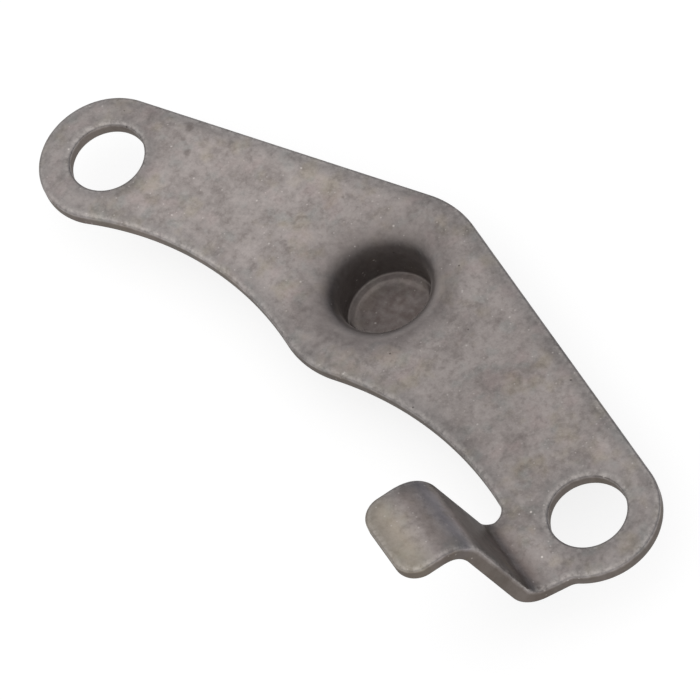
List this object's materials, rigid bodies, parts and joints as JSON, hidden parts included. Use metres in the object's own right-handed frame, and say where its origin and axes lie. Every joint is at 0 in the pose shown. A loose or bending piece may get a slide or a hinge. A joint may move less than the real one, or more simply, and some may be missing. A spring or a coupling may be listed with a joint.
{
  "type": "idler gear plate",
  "caption": "Pressed sheet-steel plate with bolt holes in its rounded ends, a drawn blind cup for the idler shaft's end, and an offset tab bent up into a hooked lug.",
  "frame": {"origin": "midway between the two bolt holes, on the mounting face, which is the side that the cup stands out of", "axes": "+X from the left bolt hole to the right one, beside which the tab stands; +Z the way the cup's mouth opens and the tab rises; +Y towards the cup"},
  "size_m": [0.0704, 0.0304, 0.0165],
  "materials": {
    "plate": "bare pressed sheet steel, tumbled: matt warm grey with faint mottling, edges softened"
  },
  "bodies": {
    "root": {"idler_gear_plate": "plate"}
  },
  "joints": []
}
